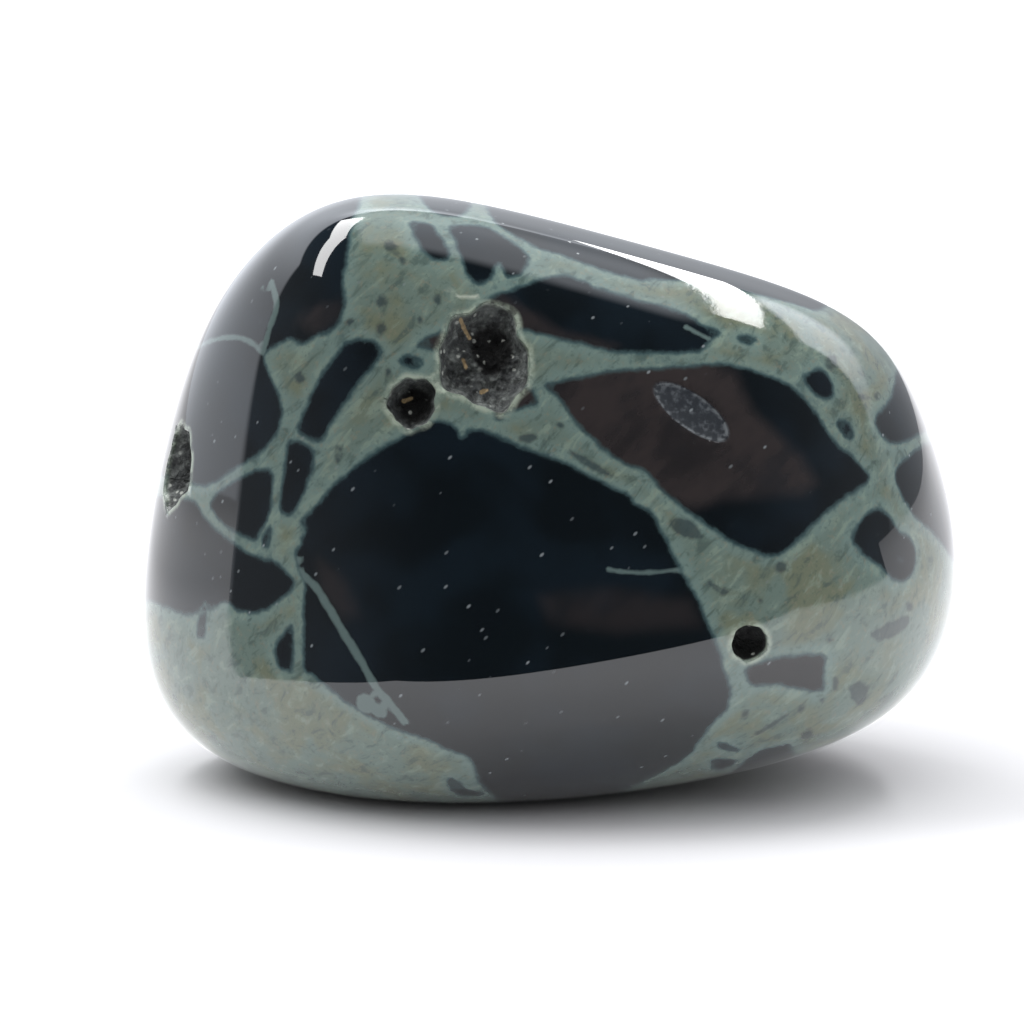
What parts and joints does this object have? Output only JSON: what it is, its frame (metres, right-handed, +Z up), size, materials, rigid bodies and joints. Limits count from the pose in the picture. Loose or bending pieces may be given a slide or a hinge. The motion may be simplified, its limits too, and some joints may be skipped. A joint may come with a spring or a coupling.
{
  "type": "tumbled stone",
  "caption": "Polished tumbled stone of brecciated obsidian: black glass shards in a sage green matrix with pale veins, a few open vugs and a small flat resting spot.",
  "frame": {"origin": "bottom of the stone, on the resting surface, under the middle of its bounding box", "axes": "+Z up from the flat resting spot; +X along the stone's longest dimension; -Y out of its broad face with the vugs"},
  "size_m": [0.0298, 0.0222, 0.0218],
  "materials": {
    "stone": "polished"
  },
  "bodies": {
    "root": {"stone": "stone"}
  },
  "joints": []
}
